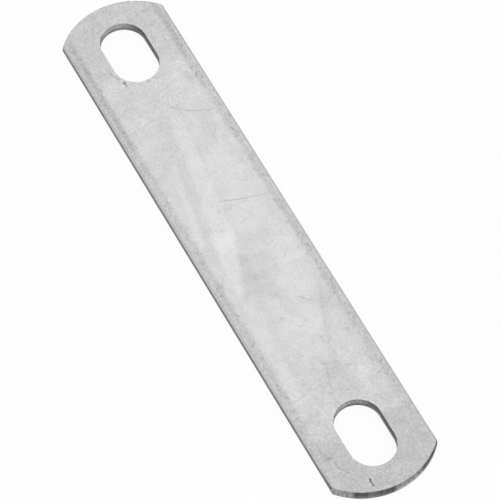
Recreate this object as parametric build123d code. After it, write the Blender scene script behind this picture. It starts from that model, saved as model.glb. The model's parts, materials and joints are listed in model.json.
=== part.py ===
"""Slotted mending plate: one flat strip of zinc-plated steel with an obround bolt slot near each end.

The plate is cut from strip with rolled, rounded long edges.  A parting die cuts both ends to an arc,
and a punch pierces the two slots, both from below.  So each cut wall has the three zones of a punched
edge: a rolled-over lip at the underside, an upright land, and a fractured upper part that leans back
by the clearance between punch and die.

Frame: millimetres, +X along the plate, +Y across it, +Z up, with the origin at the middle of the
underside, which is the punch side and the face that lies on the work.
"""

import os

from build123d import *

# Strip stock
PLATE_WIDTH = 25.4
PLATE_THICKNESS = 2.5
EDGE_RADIUS = 0.7  # rounding of the four long corners of the strip

# Bolt slots, pierced for 10 mm or 3/8 inch bolts
SLOT_SPACING = 110.0  # slot centre to slot centre
SLOT_WIDTH = 10.5
SLOT_LENGTH = 16.5
SLOT_DIE_CLEARANCE = 0.1  # lean of the fractured zone, at the upper face

# Ends, cut by the parting die
END_WALL = 6.0  # metal between a slot and the tip of its end
END_RADIUS = 17.0
END_DIE_CLEARANCE = 0.2

# Punched walls
LAND_TOP = 1.0  # height above the underside where the upright land ends and the fracture begins
ROLL_OVER_RADIUS = 0.2  # lip drawn down by the punch, round the underside of every cut wall

PLATE_LENGTH = SLOT_SPACING + SLOT_LENGTH + 2 * END_WALL


def strip_stock():
    """The strip, as long as the finished plate, with its four long corners rounded."""
    section = Pos(0, PLATE_THICKNESS / 2) * RectangleRounded(
        PLATE_WIDTH, PLATE_THICKNESS, EDGE_RADIUS
    )
    return extrude(Plane.YZ * section, PLATE_LENGTH / 2, both=True)


def punched_column(length, width, lean):
    """An obround column with a punched wall: upright over the land, then leaning out by lean at the top."""
    land = extrude(SlotOverall(length, width), LAND_TOP)
    fracture = loft(
        [
            Pos(0, 0, LAND_TOP) * SlotOverall(length, width),
            Pos(0, 0, PLATE_THICKNESS) * SlotOverall(length + 2 * lean, width + 2 * lean),
        ]
    )
    return land + fracture


def parted_ends():
    """What the parting die leaves: arc ends that lean inwards, with a rolled-over lip underneath."""
    column = punched_column(PLATE_LENGTH, 2 * END_RADIUS, -END_DIE_CLEARANCE)
    underside = column.faces().sort_by(Axis.Z)[0]
    return fillet(underside.edges(), ROLL_OVER_RADIUS)


def pierce_slots(blank):
    """The two bolt slots, opening upwards, with a rolled-over lip round each on the underside."""
    punch = punched_column(SLOT_LENGTH, SLOT_WIDTH, SLOT_DIE_CLEARANCE)
    for centre_x in (-SLOT_SPACING / 2, SLOT_SPACING / 2):
        blank -= Pos(centre_x, 0) * punch
    underside = blank.faces().sort_by(Axis.Z)[0]
    slot_rims = [edge for wire in underside.inner_wires() for edge in wire.edges()]
    return fillet(slot_rims, ROLL_OVER_RADIUS)


def mending_plate():
    """The whole plate, as one solid."""
    blank = strip_stock() & parted_ends()
    return pierce_slots(blank)


os.makedirs("parts", exist_ok=True)
plate = mending_plate()
export_step(plate, "parts/plate.step")

box = plate.bounding_box()
print(f"plate {box.size.X:.2f} x {box.size.Y:.2f} x {box.size.Z:.2f} mm, {plate.volume:.0f} mm3")
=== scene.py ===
"""Slotted mending plate in zinc-plated steel, lying on a white table under soft studio light."""

import json
import math

import bpy
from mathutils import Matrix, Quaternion, Vector


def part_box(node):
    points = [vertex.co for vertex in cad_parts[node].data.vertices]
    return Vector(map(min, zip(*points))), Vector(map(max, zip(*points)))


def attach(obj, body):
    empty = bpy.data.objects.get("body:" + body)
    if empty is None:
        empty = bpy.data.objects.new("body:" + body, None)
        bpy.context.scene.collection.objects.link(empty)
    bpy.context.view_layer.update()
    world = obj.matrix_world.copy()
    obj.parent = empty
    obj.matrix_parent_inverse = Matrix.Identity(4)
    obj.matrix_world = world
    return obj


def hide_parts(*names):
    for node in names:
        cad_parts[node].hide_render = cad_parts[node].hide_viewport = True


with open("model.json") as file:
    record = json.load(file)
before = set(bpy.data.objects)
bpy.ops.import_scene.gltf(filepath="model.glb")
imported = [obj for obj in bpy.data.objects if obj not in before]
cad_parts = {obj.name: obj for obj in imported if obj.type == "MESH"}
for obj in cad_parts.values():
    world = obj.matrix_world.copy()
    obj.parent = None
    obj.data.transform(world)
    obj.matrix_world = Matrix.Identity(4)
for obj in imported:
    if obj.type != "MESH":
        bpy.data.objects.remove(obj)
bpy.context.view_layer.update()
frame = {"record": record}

MM = 0.001

# ---------------------------------------------------------------- sizes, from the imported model
plate_low, plate_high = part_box("plate")
plate_size = Vector(plate_high) - Vector(plate_low)
bolt_slots = next(m for m in frame["record"]["mounts"] if m["name"] == "bolt_slots")["dims"]

SKIN_ALLOWANCE = 0.002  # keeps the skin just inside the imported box
PLATE_LENGTH = plate_size.x / MM - SKIN_ALLOWANCE
PLATE_WIDTH = plate_size.y / MM - SKIN_ALLOWANCE
PLATE_THICKNESS = plate_size.z / MM - SKIN_ALLOWANCE
SLOT_SPACING = bolt_slots["spacing_x_mm"]
SLOT_LENGTH = bolt_slots["slot_length_mm"]
SLOT_WIDTH = 2 * bolt_slots["hole_r_mm"]
END_RADIUS = 17.0
EDGE_RADIUS = 0.7  # rounding of the strip's long corners
ROLL_OVER = 0.2  # lip that the punch draws down on the underside
LAND_TOP = 1.0  # where the upright land ends and the fracture begins
SLOT_LEAN = 0.1  # die clearance round the slots
END_LEAN = 0.2  # die clearance at the ends
BURR_HEIGHT = 0.03  # the burrs stand this far above the upper face
FACE_HEIGHT = PLATE_THICKNESS - BURR_HEIGHT
FULL_ROUND = 0.4999  # share of a rectangle's width that rounds its ends fully


# ---------------------------------------------------------------- node tree helper
class Tree:
    """A node tree that is written as calls: each input takes a plain value, a socket or a node."""

    def __init__(self, nodes):
        self.nodes, self.links = nodes.nodes, nodes.links

    def add(self, kind, *ordered, settings=None, **named):
        node = self.nodes.new(kind)
        for key, value in (settings or {}).items():
            setattr(node, key, value)
        for key, value in list(enumerate(ordered)) + list(named.items()):
            if isinstance(key, str):
                key = key.replace("_", " ")
            self.feed(node.inputs[key], value)
        return node

    def feed(self, socket, value):
        if isinstance(value, bpy.types.Node):
            value = next(output for output in value.outputs if output.enabled)
        if isinstance(value, bpy.types.NodeSocket):
            self.links.new(value, socket)
        elif value is not None:
            socket.default_value = value

    def math(self, operation, *values):
        return self.add("ShaderNodeMath", *values, settings={"operation": operation})

    def vector(self, operation, *values):
        return self.add("ShaderNodeVectorMath", *values, settings={"operation": operation})

    def blend_between(self, value, low, high, to_low=0.0, to_high=1.0, smooth=False):
        kind = "SMOOTHSTEP" if smooth else "LINEAR"
        return self.add("ShaderNodeMapRange", value, low, high, to_low, to_high,
                        settings={"interpolation_type": kind})


def geometry_tree(name, **sizes):
    """An empty Geometry Nodes tree with one geometry output and a named input for each size."""
    group = bpy.data.node_groups.new(name, "GeometryNodeTree")
    for label, start in sizes.items():
        kind = "NodeSocketInt" if isinstance(start, int) else "NodeSocketFloat"
        if isinstance(start, bpy.types.Material):
            kind = "NodeSocketMaterial"
        socket = group.interface.new_socket(label.replace("_", " "), in_out="INPUT", socket_type=kind)
        socket.default_value = start
    group.interface.new_socket("Geometry", in_out="OUTPUT", socket_type="NodeSocketGeometry")
    tree = Tree(group)
    tree.group = group
    tree.sizes = group.nodes.new("NodeGroupInput").outputs
    tree.result = group.nodes.new("NodeGroupOutput")
    return tree


def grow(name, tree, **sizes):
    """Runs a Geometry Nodes tree with the given sizes and returns the result as a plain mesh object."""
    seed_mesh = bpy.data.objects.new(name + "_tree", bpy.data.meshes.new(name + "_tree"))
    bpy.context.collection.objects.link(seed_mesh)
    modifier = seed_mesh.modifiers.new(name, "NODES")
    modifier.node_group = tree.group
    for item in tree.group.interface.items_tree:
        key = item.name.replace(" ", "_")
        if item.in_out == "INPUT" and key in sizes:
            modifier[item.identifier] = sizes[key]
    evaluated = seed_mesh.evaluated_get(bpy.context.evaluated_depsgraph_get())
    mesh = bpy.data.meshes.new_from_object(evaluated)
    seed_mesh.modifiers.remove(modifier)
    bpy.data.objects.remove(seed_mesh)
    mesh.name = name
    piece = bpy.data.objects.new(name, mesh)
    bpy.context.collection.objects.link(piece)
    return piece


# ---------------------------------------------------------------- finishes
def shader_group(name, result, **inputs):
    """An empty shader node group with one value output; its inputs are vectors or plain values."""
    group = bpy.data.node_groups.new(name, "ShaderNodeTree")
    for label, kind in inputs.items():
        group.interface.new_socket(label.replace("_", " "), in_out="INPUT", socket_type="NodeSocket" + kind)
    group.interface.new_socket(result, in_out="OUTPUT", socket_type="NodeSocketFloat")
    tree = Tree(group)
    tree.group = group
    tree.sizes = group.nodes.new("NodeGroupInput").outputs
    tree.result = group.nodes.new("NodeGroupOutput")
    return tree


def along_and_across(tree, place, start, end):
    """How far a place lies along the line from start to end, from 0 to 1, and across it in millimetres."""
    run = tree.vector("SUBTRACT", end, start)
    offset = tree.vector("SUBTRACT", place, start)
    along = tree.math("DIVIDE", tree.vector("DOT_PRODUCT", offset, run).outputs["Value"],
                      tree.vector("DOT_PRODUCT", run, run).outputs["Value"])
    sideways = tree.vector("NORMALIZE", tree.vector("CROSS_PRODUCT", run, (0, 0, 1)))
    across = tree.vector("DOT_PRODUCT", offset, sideways).outputs["Value"]
    return along, across


def scratch_group():
    """One fine scratch from Start to End that bows sideways, with faded ends."""
    tree = shader_group("scratch", "Mask", Place="Vector", Start="Vector", End="Vector", Bow="Float",
                        Half_width="Float")
    size = tree.sizes
    along, across = along_and_across(tree, size["Place"], size["Start"], size["End"])
    arc = tree.math("MULTIPLY", tree.math("MULTIPLY", along, tree.math("SUBTRACT", 1, along)), 4)
    off = tree.math("ABSOLUTE", tree.math("SUBTRACT", across, tree.math("MULTIPLY", arc, size["Bow"])))
    core = tree.blend_between(tree.math("DIVIDE", off, size["Half width"]), 0.3, 1.3, 1, 0, smooth=True)
    ends = tree.math("MULTIPLY", tree.blend_between(along, -0.02, 0.1, smooth=True),
                     tree.blend_between(along, 0.85, 1.02, 1, 0, smooth=True))
    tree.feed(tree.result.inputs[0], tree.math("MULTIPLY", core, ends))
    return tree.group


def streak_group():
    """One broad soft streak from Start to End, with its own width at each end."""
    tree = shader_group("streak", "Mask", Place="Vector", Start="Vector", End="Vector",
                        Start_width="Float", End_width="Float", Softness="Float")
    size = tree.sizes
    along, across = along_and_across(tree, size["Place"], size["Start"], size["End"])
    half_width = tree.blend_between(along, 0, 1, size["Start width"], size["End width"])
    off = tree.math("SUBTRACT", tree.math("ABSOLUTE", across), half_width)
    body = tree.blend_between(tree.math("DIVIDE", off, size["Softness"]), -0.7, 0.7, 1, 0, smooth=True)
    ends = tree.math("MULTIPLY", tree.blend_between(along, -0.06, 0.1, smooth=True),
                     tree.blend_between(along, 0.9, 1.06, 1, 0, smooth=True))
    tree.feed(tree.result.inputs[0], tree.math("MULTIPLY", body, ends))
    return tree.group


class Finish(Tree):
    """A metal finish, built up on places in millimetres on the plate."""

    def __init__(self, name):
        material = bpy.data.materials.new(name)
        material.use_nodes = True
        super().__init__(material.node_tree)
        self.material = material
        self.shader = self.nodes["Principled BSDF"]
        self.shader.inputs["Metallic"].default_value = 1.0
        held = self.add("ShaderNodeTexCoord").outputs["Object"]
        self.place = self.vector("SCALE", held)
        self.place.inputs["Scale"].default_value = 1 / MM
        self.x, self.y, self.z = self.add("ShaderNodeSeparateXYZ", self.place).outputs
        facing = self.add("ShaderNodeSeparateXYZ", self.add("ShaderNodeNewGeometry").outputs["Normal"])
        self.facing_up = self.math("ABSOLUTE", facing.outputs["Z"])
        self.facing_side = facing.outputs["Y"]

    def cloud(self, scale, stretch=(1, 1, 1), detail=2.0, roughness=0.5, shift=0.0):
        """Noise about zero, from roughly -0.5 to 0.5; scale is in cells per millimetre."""
        spot = self.vector("MULTIPLY_ADD", self.place, stretch, (shift, shift, shift))
        noise = self.add("ShaderNodeTexNoise", Vector=spot, Scale=scale, Detail=detail,
                         Roughness=roughness)
        return self.math("SUBTRACT", noise.outputs[0], 0.5)

    def clouds(self, rows):
        """Adds up noise, each row giving its scale, stretch, detail, roughness and strength."""
        return self.total(*(self.times(self.cloud(*noise), strength) for *noise, strength in rows))

    def shaken(self, scale, reach):
        """Places pushed about by noise, by up to about half the reach in millimetres."""
        noise = self.add("ShaderNodeTexNoise", Vector=self.place, Scale=scale, Detail=3.0)
        push = self.vector("SUBTRACT", noise.outputs["Color"], (0.5, 0.5, 0.5))
        return self.vector("MULTIPLY_ADD", push, (reach, reach, reach), self.place)

    def total(self, *terms):
        result = terms[0]
        for term in terms[1:]:
            result = self.math("ADD", result, term)
        return result

    def times(self, *terms):
        result = terms[0]
        for term in terms[1:]:
            result = self.math("MULTIPLY", result, term)
        return result

    def less(self, value):
        """The value with its sign turned, so that a total takes it away."""
        return self.math("MULTIPLY", value, -1)

    def grey(self, tone):
        """Paints the metal in one shade of grey, from 0 to 1."""
        colour = self.add("ShaderNodeCombineColor", tone, tone, tone)
        self.feed(self.shader.inputs["Base Color"], colour)

    def relief(self, height, strength):
        """Raises the surface by a height in millimetres."""
        bump = self.add("ShaderNodeBump", Strength=strength, Distance=MM, Height=height)
        self.feed(self.shader.inputs["Normal"], bump)

    def marks(self, group, rows, names, place):
        """Adds up one group's masks, each row giving its strength and then its named inputs."""
        parts = []
        for strength, *values in rows:
            mark = self.add("ShaderNodeGroup", settings={"node_tree": group})
            self.feed(mark.inputs["Place"], place)
            for name, value in zip(names, values):
                self.feed(mark.inputs[name], (*value, FACE_HEIGHT) if isinstance(value, tuple) else value)
            parts.append(self.math("MULTIPLY", mark, strength))
        return self.total(*parts)


# strength, start, end, half width at each end, softness of its sides: places in millimetres on the face
STREAKS_AND_END_SHADE = [
    (0.070, (-36, 1.4), (2, -4.4), 1.1, 2.3, 0.7),
    (0.045, (-25, 5.5), (0, 3.0), 1.5, 5.0, 3.0),
    (0.060, (-24, -5.2), (-1, -9.4), 0.7, 0.9, 0.6),
    (0.075, (-3, -4.0), (14, -7.6), 2.6, 0.9, 0.8),
    (0.050, (2, 8.0), (34, -2.0), 3.0, 5.0, 2.5),
    (0.040, (24, 5.5), (46, 6.5), 2.0, 3.0, 2.0),
    (0.050, (16, -7.4), (44, -9.0), 1.6, 1.2, 1.2),
    (0.045, (-48, 9.0), (-41, 5.0), 1.5, 1.5, 1.5),
    (0.045, (-51, -7.4), (-44, -8.6), 1.2, 1.0, 1.0),
    (-0.065, (4, -2.6), (15, -5.4), 1.2, 2.6, 0.7),
    (-0.060, (9, -2.0), (23, 1.0), 2.0, 1.2, 0.9),
    (-0.040, (15.5, 9.9), (36, 2.6), 0.9, 0.7, 1.0),
    (-0.050, (35, 1.6), (46, 2.6), 1.8, 2.4, 1.0),
    (-0.030, (-35, -2.2), (0, -8.2), 1.2, 1.0, 1.0),
    (-0.045, (-33, 7.0), (-24, 5.0), 1.6, 1.2, 1.5),
    # painted shade: these two broad rows darken both ends of the face across its whole width
    (-0.080, (52, 0), (70, 0), 12, 12, 5.0),
    (-0.060, (-72, 0), (-50, 0), 13, 12, 5.0),
    (-0.075, (-66, 10.8), (-48, 10.8), 0.7, 0.7, 0.6),
    (-0.070, (-64, -10.9), (-30, -11.2), 0.7, 0.7, 0.6),
]

# strength, start, end, bow sideways, half width
SCRATCHES = [
    (0.08, (-44.6, 9.2), (-41.6, -0.2), 0.3, 0.13),
    (0.16, (-32.7, 9.8), (-38.0, 0.9), -0.7, 0.15),
    (0.08, (-38.9, 5.4), (-37.5, 1.0), -0.6, 0.12),
    (0.15, (-7.4, 10.1), (-11.3, -2.4), -0.35, 0.13),
    (0.15, (-63.9, 10.1), (-63.3, 5.6), 0.2, 0.13),
    (0.10, (-36.2, -1.6), (-34.7, -10.0), 0.5, 0.12),
    (0.09, (-3.8, 3.5), (-3.1, 0.5), 0.1, 0.12),
    (0.11, (6.5, 7.7), (10.0, 0.4), -0.8, 0.12),
    (0.10, (21.3, 5.6), (17.7, 1.5), 0.2, 0.14),
    (0.03, (15.8, 9.9), (34.6, 1.6), -0.4, 0.22),
    (0.08, (35.3, 0.6), (43.7, -2.0), -0.3, 0.16),
    (0.12, (42.9, 10.6), (44.2, 6.8), -0.3, 0.14),
    (0.10, (40.5, -5.3), (39.5, -8.4), 0.1, 0.12),
    (0.12, (41.1, -6.8), (41.8, -9.8), -0.2, 0.13),
    (0.14, (58.1, -6.0), (57.0, -12.3), 0.4, 0.13),
    (0.55, (64.9, -4.6), (67.2, -4.6), 0.0, 0.27),
    (0.10, (61.2, -4.6), (68.3, -4.6), 0.05, 0.12),
    (0.17, (57.8, -9.2), (63.1, -6.4), 0.8, 0.13),
    (0.13, (64.9, 0.8), (64.1, -2.8), 0.2, 0.12),
    (0.10, (-51.5, 11.3), (-50.2, 8.9), 0.0, 0.14),
    (0.09, (-26.0, -3.3), (-25.5, -4.9), 0.0, 0.13),
    (0.08, (-68.6, -3.3), (-60.0, -6.6), -0.3, 0.14),
    (0.09, (-22.5, -7.0), (-21.2, -10.4), 0.3, 0.11),
    (0.08, (-28.4, 7.6), (-25.6, 6.1), 0.0, 0.15),
    (0.45, (-48.6, -4.9), (-47.6, -4.5), 0.1, 0.3),
    (0.30, (-47.4, -4.9), (-46.9, -4.7), 0.0, 0.25),
    (0.18, (-52.0, -6.4), (-49.2, -5.2), 0.3, 0.16),
    (0.18, (-46.4, 3.2), (-46.1, 2.2), -0.1, 0.2),
    (0.22, (-46.0, 0.6), (-46.2, -0.4), -0.1, 0.26),
    (0.22, (-46.4, -1.5), (-46.0, -2.3), 0.1, 0.24),
    (0.16, (30.6, 8.6), (31.4, 9.2), 0.0, 0.25),
]

# broad unevenness of the face: cells per millimetre, stretch, detail, roughness, strength
BLOTCHES = [
    (0.045, (0.7, 1.2, 1), 2, 0.5, 0.08),
    (0.16, (0.8, 1, 1), 3, 0.5, 0.045),
    (1.2, (0.12, 1.6, 1), 2, 0.5, 0.04),
]

# fine grain, in the same order
GRAIN = [
    (0.55, (1, 1, 1), 3, 0.6, 0.16),
    (1.9, (1, 1, 1), 3, 0.7, 0.62),
]

# random hairlines: cells per millimetre, stretch, shift, how bare of them the face is
HAIRLINES = [
    (0.10, (1.7, 0.7, 1), 3.0, 0.02),
    (0.13, (0.6, 1.5, 1), 17.0, 0.03),
    (0.22, (1, 1, 1), 41.0, 0.03),
    (0.35, (1, 0.8, 1), 77.0, 0.03),
    (0.50, (0.8, 1, 1), 95.0, 0.02),
]

FACE_BRIGHTNESS = 0.59
# painted shade: the dark tone of the rounded long edges, which face sideways
MILL_EDGE_SHADE_BRIGHTNESS = 0.135
STREAK_AND_END_SHADE_STRENGTH = 1.2
HAIRLINE_STRENGTH = 0.07


def smears_end_shade_and_scratches(finish):
    """The marks listed for the upper face; the scratches skip here and there."""
    upper_side = finish.blend_between(finish.z, FACE_HEIGHT - 0.9, FACE_HEIGHT - 0.6, smooth=True)
    # painted shade is among these marks: two broad rows darken the ends of the face
    streaks_and_end_shade = finish.marks(
        streak_group(), STREAKS_AND_END_SHADE, ("Start", "End", "Start width", "End width", "Softness"),
        finish.shaken(0.45, 0.8))
    scratches = finish.marks(
        scratch_group(), SCRATCHES, ("Start", "End", "Bow", "Half width"), finish.shaken(1.3, 0.75))
    skipping = finish.blend_between(finish.cloud(0.8, detail=2, shift=31.0), -0.16, 0.08, 0.35, 1.1)
    return (finish.times(STREAK_AND_END_SHADE_STRENGTH, upper_side, streaks_and_end_shade),
            finish.times(scratches, skipping, upper_side))


def mill_bands(finish):
    """The ragged, pitted bands just inside the long edges, and how dark they are."""
    ragged = finish.times(finish.cloud(0.7, detail=3, shift=2.0), 2.2)
    from_edge = finish.total(PLATE_WIDTH / 2, finish.less(finish.math("ABSOLUTE", finish.y)), ragged)
    from_middle = finish.math("ABSOLUTE", finish.total(finish.x, 6))
    band = finish.times(finish.blend_between(from_edge, 0.3, 1.2, 0.2, 1, smooth=True),
                        finish.blend_between(from_edge, 1.9, 2.8, 1, 0, smooth=True),
                        finish.blend_between(from_middle, 50, 64, 1, 0.25, smooth=True))
    pitting = finish.blend_between(finish.cloud(1.7, (0.8, 1.1, 1), 3), 0.02, 0.12, smooth=True)
    depth = finish.total(0.035, finish.times(finish.cloud(0.12, detail=2), 0.22),
                         finish.times(pitting, 0.17))
    return band, depth


def fine_hairlines(finish):
    """Thin level lines of slow noise, kept only here and there, and stronger towards the near end."""
    lines = []
    for scale, stretch, shift, bareness in HAIRLINES:
        level = finish.math("ABSOLUTE", finish.cloud(scale, stretch, 1.0, shift=shift))
        line = finish.blend_between(level, 0.0008, scale * 0.035, 1, 0)
        kept = finish.blend_between(finish.cloud(0.16, detail=1.0, shift=shift + 9), bareness,
                                    bareness + 0.1, smooth=True)
        lines.append(finish.times(line, kept, HAIRLINE_STRENGTH))
    return finish.times(finish.total(*lines), finish.blend_between(finish.x, 5, 55, 1, 1.7))


def end_rim_shade(finish):
    """Painted shade, mottled, in a thin band just inside the end rims where the ends were parted; the face
    itself does not dip.
    """
    beyond_centre = finish.math("SUBTRACT", finish.math("ABSOLUTE", finish.x),
                                PLATE_LENGTH / 2 - END_RADIUS)
    from_centre = finish.add("ShaderNodeCombineXYZ", finish.math("MAXIMUM", beyond_centre, 0), finish.y)
    from_end = finish.math("SUBTRACT", END_RADIUS, finish.vector("LENGTH", from_centre).outputs["Value"])
    return finish.times(finish.blend_between(from_end, 0.15, 0.6, 1, 0, smooth=True),
                        finish.total(0.16, finish.times(finish.cloud(1.6, detail=2), 0.5)))


def edge_shade_mix(finish):
    """1 on the flat faces and 0 on the rounded mill edges, which are painted dark by which way they face:
    painted shade, stronger near the +X end and, towards the -X end, on faces turned to +Y.
    """
    near_end_shade = finish.blend_between(finish.x, PLATE_LENGTH / 2 - 12, PLATE_LENGTH / 2 - 5, smooth=True)
    far_side_shade = finish.times(finish.blend_between(finish.facing_side, 0.1, 0.4, 0, -0.28),
                            finish.blend_between(finish.x, -30, 20, 1, 0))
    facing = finish.total(finish.facing_up, finish.times(near_end_shade, -0.35), far_side_shade)
    return finish.blend_between(facing, 0.2, 0.55, smooth=True)


def zinc_face_finish():
    """Rolled zinc-plated face: satin and blotchy, with pitted bands along the edges and fine scratches."""
    finish = Finish("zinc_rolled_face")
    streaks_and_end_shade, scratches = smears_end_shade_and_scratches(finish)
    band, band_depth = mill_bands(finish)
    lines = finish.total(scratches, fine_hairlines(finish))
    specks = finish.blend_between(finish.cloud(0.95, detail=2, shift=5.0), 0.18, 0.26, smooth=True)
    pale_specks = finish.blend_between(finish.cloud(0.9, detail=2, shift=8.0), 0.2, 0.28, smooth=True)
    away_from_middle = finish.blend_between(
        finish.math("ABSOLUTE", finish.x), 22, 50, 0.6, 1.15, smooth=True)

    face_tone = finish.total(
        1.0, streaks_and_end_shade, finish.clouds(BLOTCHES), finish.times(finish.clouds(GRAIN), away_from_middle),
        finish.times(pale_specks, 0.03), finish.times(specks, -0.13),
        finish.less(finish.times(band, band_depth)), finish.less(lines),
        finish.less(end_rim_shade(finish)))
    # painted shade: the rounded long edges take this dark tone by which way they face
    edge_shade_tone = finish.total(MILL_EDGE_SHADE_BRIGHTNESS,
                             finish.times(finish.cloud(0.9, (0.3, 1, 1), 3), 0.14))
    tone = finish.add("ShaderNodeMix", settings={"data_type": "FLOAT"})
    for number, value in ((0, edge_shade_mix(finish)), (2, edge_shade_tone),
                          (3, finish.times(face_tone, FACE_BRIGHTNESS))):
        finish.feed(tone.inputs[number], value)
    finish.grey(tone.outputs[0])

    roughness = finish.total(0.40, finish.times(finish.cloud(0.3, detail=3), 0.12),
                             finish.times(lines, 0.6), finish.times(band, 0.06))
    finish.feed(finish.shader.inputs["Roughness"], roughness)
    finish.relief(finish.total(finish.times(finish.cloud(1.4, detail=4, roughness=0.65), 0.02),
                               finish.times(lines, -0.08), finish.times(specks, -0.02)), 0.35)
    return finish.material


def cut_wall_finish(name, brightness, side_shade, contrast, painted_light_lengths=()):
    """Punched wall: a burnished land with upright drag lines below a darker, torn fracture.

    The pale lengths are stretches across the plate, in millimetres, painted lighter as painted light, and
    darker as painted shade where a share is negative: from, to, how much of it falls on the land, how much
    on the fracture.
    """
    finish = Finish(name)
    drag = finish.cloud(1.5, (1, 1, 0.12), 4, 0.65)
    coarse = finish.cloud(0.28, (1, 1, 0.1), 2, 0.5)
    torn = finish.cloud(2.6, (1, 1, 0.8), 4, 0.7, shift=6.0)
    ragged_height = finish.total(finish.z, finish.times(finish.cloud(0.6, (1, 1, 0.1), 2), 0.9))
    fracture = finish.blend_between(ragged_height, LAND_TOP - 0.1, LAND_TOP + 0.25, smooth=True)
    # painted shade: the wall's tone falls to 0.4 down at the roll-over lip, where it meets the table
    lip = finish.blend_between(finish.z, 0.12, 0.3, smooth=True)
    # painted shade: the walls darken by side_shade the further they lie from the plate's middle line, which
    # darkens the straight sides of the slots
    side = finish.blend_between(finish.math("ABSOLUTE", finish.y), 2.6, 5.0, 1.0, side_shade)

    tone = finish.total(1.0, finish.times(drag, contrast), finish.times(coarse, contrast),
                        finish.times(fracture, finish.total(-0.2, finish.times(torn, 1.5, contrast))))
    grain = finish.total(1.0, finish.times(drag, 2.0), finish.times(torn, fracture, 2.0))
    soft_edge = 0.6
    # painted light and painted shade along the given stretches
    for start, end, land_share, fracture_share in painted_light_lengths:
        share = finish.blend_between(fracture, 0, 1, land_share, fracture_share)
        inside = finish.times(
            finish.blend_between(finish.y, start - soft_edge, start + soft_edge, smooth=True),
            finish.blend_between(finish.y, end - soft_edge, end + soft_edge, 1, 0, smooth=True))
        tone = finish.total(tone, finish.times(inside, share, grain))
    tone = finish.times(tone, brightness, side, finish.blend_between(lip, 0, 1, 0.4, 1.0))
    finish.grey(finish.math("MAXIMUM", tone, 0.03))

    finish.feed(finish.shader.inputs["Roughness"],
                finish.total(0.38, finish.times(fracture, 0.22), finish.times(drag, 0.1)))
    finish.relief(finish.total(finish.times(drag, 0.05),
                               finish.times(fracture, torn, 0.08)), 0.5)
    return finish.material


def bright_burr_finish():
    """Freshly torn metal on the burrs, brighter than the face."""
    finish = Finish("zinc_bright_burr")
    finish.grey(finish.total(0.93, finish.times(finish.cloud(3.0, detail=2), 0.4)))
    finish.shader.inputs["Roughness"].default_value = 0.3
    return finish.material


zinc_face = zinc_face_finish()
# painted shade and painted light: the end and slot walls are the same cut steel, the end walls painted
# darker and the slot walls lighter
end_wall = cut_wall_finish(
    "zinc_cut_end_wall", brightness=0.17, side_shade=1.0, contrast=1.6,
    painted_light_lengths=[(-14.0, -9.2, 1.0, 1.6), (-0.6, 6.6, 1.6, 1.2), (7.6, 14.0, -0.3, -0.3)])
slot_wall = cut_wall_finish(
    "zinc_cut_slot_wall", brightness=0.46, side_shade=0.36, contrast=0.7,
    painted_light_lengths=[(-3.4, 4.6, -0.6, 0.1)])
fresh_zinc = bright_burr_finish()


# ---------------------------------------------------------------- the punched plate
# the wall's section is drawn through these levels, from below the underside to above the upper face
UNDERSIDE, LAND, FRACTURE, UPPER_FACE, TOP = 1, 7, 12, 26, 27
PAST_THE_FACES = 1.0  # how far a tool reaches beyond each face
SMOOTH_BELOW = math.radians(35)  # edges that turn less than this are shaded smooth


def obround(tree, length, width, points):
    """The outline of a slot or an arc-ended plate, in millimetres."""
    rectangle = tree.add("GeometryNodeCurvePrimitiveQuadrilateral", length, width)
    return tree.add("GeometryNodeFilletCurve", rectangle, settings={"mode": "POLY"}, Count=points,
                    Radius=tree.math("MULTIPLY", width, FULL_ROUND), Limit_Radius=True)


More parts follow.
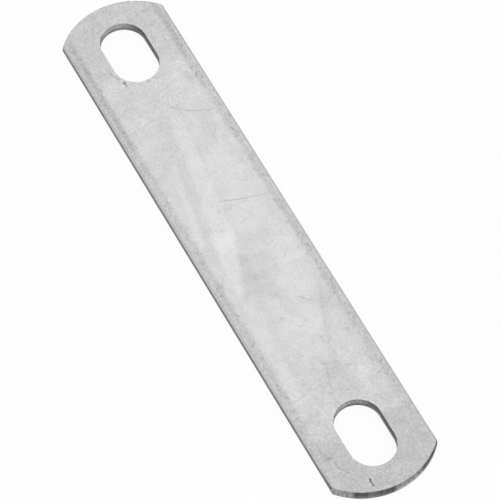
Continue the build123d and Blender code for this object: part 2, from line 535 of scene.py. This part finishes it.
def punched_tool(tree, length, width, lean, side, ragged, seed, wall):
    """A closed obround tool in millimetres whose wall has a punched edge's three zones.

    side is 1 for a punch, which opens outwards at both faces, and -1 for the blank that the
    parting die leaves, which draws in at both faces.
    """
    size = tree.sizes
    path = tree.add("GeometryNodeResampleCurve", obround(tree, length, width, 64),
                    Length=size["Step"], settings={"mode": "LENGTH"})

    # section of the wall: one point per level
    level = tree.add("GeometryNodeInputIndex")
    below = tree.blend_between(level, 0, UNDERSIDE, -PAST_THE_FACES, 0)
    turn = tree.blend_between(level, UNDERSIDE, LAND, 0, math.pi / 2)
    roll_height = tree.math("MULTIPLY", size["Roll over"],
                            tree.math("SUBTRACT", 1, tree.math("COSINE", turn)))
    roll_offset = tree.math("MULTIPLY", size["Roll over"],
                            tree.math("SUBTRACT", 1, tree.math("SINE", turn)))
    land = tree.blend_between(level, LAND, FRACTURE, 0,
                              tree.math("SUBTRACT", size["Land top"], size["Roll over"]))
    fracture = tree.blend_between(level, FRACTURE, UPPER_FACE)
    fracture_height = tree.math("MULTIPLY", fracture,
                                tree.math("SUBTRACT", size["Thickness"], size["Land top"]))
    above = tree.blend_between(level, UPPER_FACE, TOP, 0, PAST_THE_FACES)
    height = tree.math("ADD", tree.math("ADD", below, roll_height),
                       tree.math("ADD", land, tree.math("ADD", fracture_height, above)))
    offset = tree.math("ADD", roll_offset, tree.math("MULTIPLY", fracture, lean))
    section_points = tree.add("GeometryNodeMeshLine", Count=TOP + 1)
    section = tree.add("GeometryNodeSetPosition", section_points,
                       Position=tree.add("ShaderNodeCombineXYZ", tree.math("MULTIPLY", offset, side),
                                         tree.math("MULTIPLY", height, -1)))
    sweep = tree.add("GeometryNodeCurveToMesh", path,
                     Profile_Curve=tree.add("GeometryNodeMeshToCurve", section))

    # the fracture tears: it is rougher the nearer it is to the upper face
    place = tree.add("GeometryNodeInputPosition")
    place_height = tree.add("ShaderNodeSeparateXYZ", place).outputs["Z"]
    torn = tree.blend_between(place_height, size["Land top"], size["Thickness"], smooth=True)
    tears = tree.add("ShaderNodeTexNoise", settings={"noise_dimensions": "4D"},
                     Vector=tree.vector("MULTIPLY", place, (1, 1, 0.35)), W=seed, Scale=1.6, Detail=4)
    depth = tree.math("MULTIPLY", tree.math("SUBTRACT", tears.outputs[0], 0.5),
                      tree.math("MULTIPLY", torn, ragged))
    torn_wall = tree.add("GeometryNodeSetPosition", sweep, Offset=tree.vector(
        "MULTIPLY", tree.add("GeometryNodeInputNormal"),
        tree.add("ShaderNodeCombineXYZ", depth, depth, 0.0)))

    # caps: each open rim is drawn in to the axis
    rim = tree.math("COMPARE", tree.add("GeometryNodeInputMeshEdgeNeighbors"), 1, 0.1)
    cap = tree.add("GeometryNodeExtrudeMesh", torn_wall, Selection=rim, Offset_Scale=0.0,
                   settings={"mode": "EDGES"})
    on_axis = tree.add("ShaderNodeCombineXYZ", 0.0, 0.0, place_height)
    capped = tree.add("GeometryNodeSetPosition", cap, Selection=cap.outputs["Top"], Position=on_axis)
    closed = tree.add("GeometryNodeFlipFaces",
                      tree.add("GeometryNodeMergeByDistance", capped, Distance=0.0005))
    return tree.add("GeometryNodeSetMaterial", closed, Material=size[wall])


def plate_tree():
    """The plate: rolled strip, parted to arc ends and pierced with two slots. All sizes in millimetres."""
    tree = geometry_tree(
        "punched plate",
        Length=PLATE_LENGTH, Width=PLATE_WIDTH, Thickness=FACE_HEIGHT, Edge_radius=EDGE_RADIUS,
        End_radius=END_RADIUS, End_lean=END_LEAN, Slot_length=SLOT_LENGTH, Slot_width=SLOT_WIDTH,
        Slot_spacing=SLOT_SPACING, Slot_lean=SLOT_LEAN, Roll_over=ROLL_OVER, Land_top=LAND_TOP,
        Ragged=0.2, Step=0.12, Seed=3, Face=zinc_face, End_wall=end_wall, Slot_wall=slot_wall)
    size = tree.sizes

    def half(value):
        return tree.math("MULTIPLY", value, 0.5)

    # the strip: its rounded section, drawn along the plate
    section = tree.add("GeometryNodeCurvePrimitiveQuadrilateral", size["Width"], size["Thickness"])
    rounded = tree.add("GeometryNodeFilletCurve", section, settings={"mode": "POLY"},
                       Count=10, Radius=size["Edge radius"], Limit_Radius=True)
    reach = tree.math("ADD", half(size["Length"]), 1)
    axis = tree.add("GeometryNodeCurvePrimitiveLine",
                    Start=tree.add("ShaderNodeCombineXYZ", tree.math("MULTIPLY", reach, -1), 0.0,
                                   half(size["Thickness"])),
                    End=tree.add("ShaderNodeCombineXYZ", reach, 0.0, half(size["Thickness"])))
    strip = tree.add("GeometryNodeCurveToMesh", axis, Profile_Curve=rounded, Fill_Caps=True)
    strip = tree.add("GeometryNodeSetMaterial", strip, Material=size["Face"])

    # the ends, then the slots
    blank = punched_tool(tree, size["Length"], tree.math("MULTIPLY", size["End radius"], 2),
                         size["End lean"], -1, size["Ragged"], size["Seed"], "End wall")
    parted = tree.add("GeometryNodeMeshBoolean",
                      settings={"operation": "INTERSECT", "solver": "MANIFOLD"})
    tree.feed(parted.inputs["Mesh 2"], strip)
    tree.feed(parted.inputs["Mesh 2"], blank)
    punch = punched_tool(tree, size["Slot length"], size["Slot width"], size["Slot lean"], 1,
                         size["Ragged"], size["Seed"], "Slot wall")
    pierced = tree.add("GeometryNodeMeshBoolean",
                       settings={"operation": "DIFFERENCE", "solver": "MANIFOLD"})
    tree.feed(pierced.inputs["Mesh 1"], parted)
    for end in (-0.5, 0.5):
        centre = tree.add("ShaderNodeCombineXYZ", tree.math("MULTIPLY", size["Slot spacing"], end))
        tree.feed(pierced.inputs["Mesh 2"], tree.add("GeometryNodeTransform", punch, Translation=centre))

    # flat faces stay flat, the rest is smooth up to its corners
    face_up = tree.add("ShaderNodeSeparateXYZ", tree.add("GeometryNodeInputNormal")).outputs["Z"]
    curved = tree.math("LESS_THAN", tree.math("ABSOLUTE", face_up), 0.9999)
    smooth = tree.add("GeometryNodeSetShadeSmooth", pierced, Shade_Smooth=curved,
                      settings={"domain": "FACE"})
    gentle = tree.math("LESS_THAN", tree.add("GeometryNodeInputMeshEdgeAngle"), SMOOTH_BELOW)
    cornered = tree.add("GeometryNodeSetShadeSmooth", smooth, Shade_Smooth=gentle,
                        settings={"domain": "EDGE"})
    in_metres = tree.add("GeometryNodeTransform", cornered, Scale=(MM, MM, MM))
    tree.feed(tree.result.inputs[0], tree.add("GeometryNodeRealizeInstances", in_metres))
    return tree


def rim_crumbs(tree, length, width, outset, centre, seed):
    """Crumbs of torn metal, of uneven size, scattered along an obround rim in millimetres."""
    size = tree.sizes
    grown = tree.math("MULTIPLY", outset, 2)
    rim = obround(tree, tree.math("ADD", length, grown), tree.math("ADD", width, grown), 48)
    spots = tree.add("GeometryNodeCurveToPoints", rim, Length=size["Spacing"], settings={"mode": "LENGTH"})
    place = tree.add("GeometryNodeInputPosition")
    side = tree.math("ABSOLUTE", tree.add("ShaderNodeSeparateXYZ", place).outputs["Y"])

    def chance(number):
        draw = tree.add("FunctionNodeRandomValue", settings={"data_type": "FLOAT"},
                        Seed=tree.math("ADD", size["Seed"], seed + number))
        return draw.outputs[1]

    dropped = tree.math("MAXIMUM", tree.math("GREATER_THAN", side, size["Half flat width"]),
                        tree.math("GREATER_THAN", chance(0), size["Share"]))
    kept = tree.add("GeometryNodeDeleteGeometry", spots, Selection=dropped, settings={"domain": "POINT"})
    reach = tree.blend_between(tree.math("POWER", chance(1), 5), 0, 1, size["Smallest"], size["Largest"])
    crumbs = tree.add(
        "GeometryNodeInstanceOnPoints", kept,
        Instance=tree.add("GeometryNodeMeshIcoSphere", Radius=1.0, Subdivisions=2),
        Rotation=tree.add("ShaderNodeCombineXYZ", 0.0, 0.0, tree.math("MULTIPLY", chance(2), 2 * math.pi)),
        Scale=tree.add("ShaderNodeCombineXYZ", reach, tree.math("MULTIPLY", reach, 0.55),
                       size["Burr height"]))
    return tree.add("GeometryNodeTransform", crumbs, Translation=tree.add(
        "ShaderNodeCombineXYZ", centre, 0.0, size["Height"]))


def burr_tree():
    """What the punches tore up along the die-side rims. All sizes in millimetres."""
    tree = geometry_tree(
        "die side burrs",
        Length=PLATE_LENGTH, End_radius=END_RADIUS, End_lean=END_LEAN, Slot_length=SLOT_LENGTH,
        Slot_width=SLOT_WIDTH, Slot_spacing=SLOT_SPACING, Slot_lean=SLOT_LEAN, Set_back=0.2,
        Half_flat_width=PLATE_WIDTH / 2 - EDGE_RADIUS, Height=FACE_HEIGHT, Burr_height=BURR_HEIGHT,
        Spacing=0.3, Share=0.3, Smallest=0.03, Largest=0.2, Seed=4, Metal=fresh_zinc)
    size = tree.sizes
    all_crumbs = tree.add("GeometryNodeJoinGeometry")
    slot_outset = tree.math("ADD", size["Slot lean"], size["Set back"])
    for seed, end in ((0, -0.5), (10, 0.5)):
        centre = tree.math("MULTIPLY", size["Slot spacing"], end)
        tree.feed(all_crumbs.inputs[0], rim_crumbs(
            tree, size["Slot length"], size["Slot width"], slot_outset, centre, seed))
    end_outset = tree.math("MULTIPLY", tree.math("ADD", size["End lean"], size["Set back"]), -1)
    tree.feed(all_crumbs.inputs[0], rim_crumbs(
        tree, size["Length"], tree.math("MULTIPLY", size["End radius"], 2), end_outset, 0.0, 20))
    loose = tree.add("GeometryNodeRealizeInstances", all_crumbs)
    rough = tree.add("ShaderNodeTexNoise", Vector=tree.add("GeometryNodeInputPosition"), Scale=9.0,
                     Detail=2.0)
    knock = tree.vector("MULTIPLY", tree.vector("SUBTRACT", rough.outputs["Color"], (0.5, 0.5, 0.5)),
                        (0.1, 0.1, 0.0))  # sideways only, so that no crumb stands taller
    torn = tree.add("GeometryNodeSetPosition", loose, Offset=knock)
    in_metres = tree.add("GeometryNodeTransform", torn, Scale=(MM, MM, MM))
    metal = tree.add("GeometryNodeSetMaterial", tree.add("GeometryNodeRealizeInstances", in_metres),
                     Material=size["Metal"])
    tree.feed(tree.result.inputs[0], metal)
    return tree


steel_plate = grow("mending_plate", plate_tree())
burrs = grow("die_side_burrs", burr_tree())
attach(burrs, "root")
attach(steel_plate, "root")
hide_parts("plate")


# ---------------------------------------------------------------- table, light and camera
TABLE_WHITE = (0.97, 0.97, 0.97, 1)
TABLE_GLOW = 0.94  # how much of the table is seen as plain white, shadows aside
TABLE_REACH = 20.0
TABLE_DROP = 0.02 * MM  # keeps the table and the underside from sharing a plane
WORLD_STRENGTH = 0.9


def white_table():
    """A white table seen from above only; its paint still lights the metal."""
    material = bpy.data.materials.new("white_table")
    material.use_nodes = True
    tree = Tree(material.node_tree)
    tree.nodes.clear()
    path = tree.add("ShaderNodeLightPath")
    seen = tree.math("MAXIMUM", path.outputs["Is Camera Ray"],
                     tree.math("MAXIMUM", path.outputs["Is Glossy Ray"],
                               path.outputs["Is Transmission Ray"]))
    paint = tree.add("ShaderNodeBsdfDiffuse", TABLE_WHITE)
    paper = tree.add("ShaderNodeEmission", (1, 1, 1, 1), 1.0)
    top = tree.add("ShaderNodeMixShader", tree.math("MULTIPLY", seen, TABLE_GLOW), paint, paper)
    from_below = tree.add("ShaderNodeNewGeometry").outputs["Backfacing"]
    one_sided = tree.add("ShaderNodeMixShader", from_below, top, tree.add("ShaderNodeBsdfTransparent"))
    tree.add("ShaderNodeOutputMaterial", Surface=one_sided)
    mesh = bpy.data.meshes.new("table")
    corners = [(x * TABLE_REACH, y * TABLE_REACH, -TABLE_DROP)
               for x, y in ((-1, -1), (1, -1), (1, 1), (-1, 1))]
    mesh.from_pydata(corners, [], [(0, 1, 2, 3)])
    mesh.materials.append(material)
    table = bpy.data.objects.new("table", mesh)
    bpy.context.collection.objects.link(table)


def soft_light(name, azimuth, elevation, distance, width, height, power):
    lamp = bpy.data.lights.new(name, "AREA")
    lamp.shape, lamp.size, lamp.size_y, lamp.energy = "RECTANGLE", width, height, power
    holder = bpy.data.objects.new(name, lamp)
    away = direction(azimuth, elevation)
    holder.location = away * distance
    holder.rotation_mode = "QUATERNION"
    holder.rotation_quaternion = away.to_track_quat("Z", "Y")
    bpy.context.collection.objects.link(holder)


def direction(azimuth, elevation):
    """The way from the plate to a camera or lamp, with azimuth 0 in front of it."""
    a, e = math.radians(azimuth), math.radians(elevation)
    return Vector((math.sin(a) * math.cos(e), -math.cos(a) * math.cos(e), math.sin(e)))


CAMERA_AZIMUTH, CAMERA_ELEVATION, CAMERA_ROLL = 61.163, 58.142, -1.162
CAMERA_DISTANCE, CAMERA_LENS = 0.7785, 257.33
CAMERA_AIM = Vector((0.00307, -0.00007, 0.00125))


def place_camera():
    lens = bpy.data.cameras.new("camera")
    lens.lens, lens.sensor_width = CAMERA_LENS, 36
    lens.clip_start, lens.clip_end = 0.01, 50
    camera = bpy.data.objects.new("camera", lens)
    back = direction(CAMERA_AZIMUTH, CAMERA_ELEVATION)
    camera.location = CAMERA_AIM + back * CAMERA_DISTANCE
    camera.rotation_mode = "QUATERNION"
    roll = Quaternion((0, 0, 1), math.radians(-CAMERA_ROLL))
    camera.rotation_quaternion = (-back).to_track_quat("-Z", "Y") @ roll
    bpy.context.collection.objects.link(camera)
    bpy.context.scene.camera = camera


def light_the_scene():
    world = bpy.data.worlds.new("studio")
    world.use_nodes = True
    world.node_tree.nodes["Background"].inputs["Color"].default_value = (1, 1, 1, 1)
    world.node_tree.nodes["Background"].inputs["Strength"].default_value = WORLD_STRENGTH
    bpy.context.scene.world = world
    soft_light("overhead_softbox", azimuth=241, elevation=58, distance=0.6,
               width=0.16, height=0.16, power=0.1)


white_table()
light_the_scene()
place_camera()
bpy.context.scene.view_settings.view_transform = "Standard"
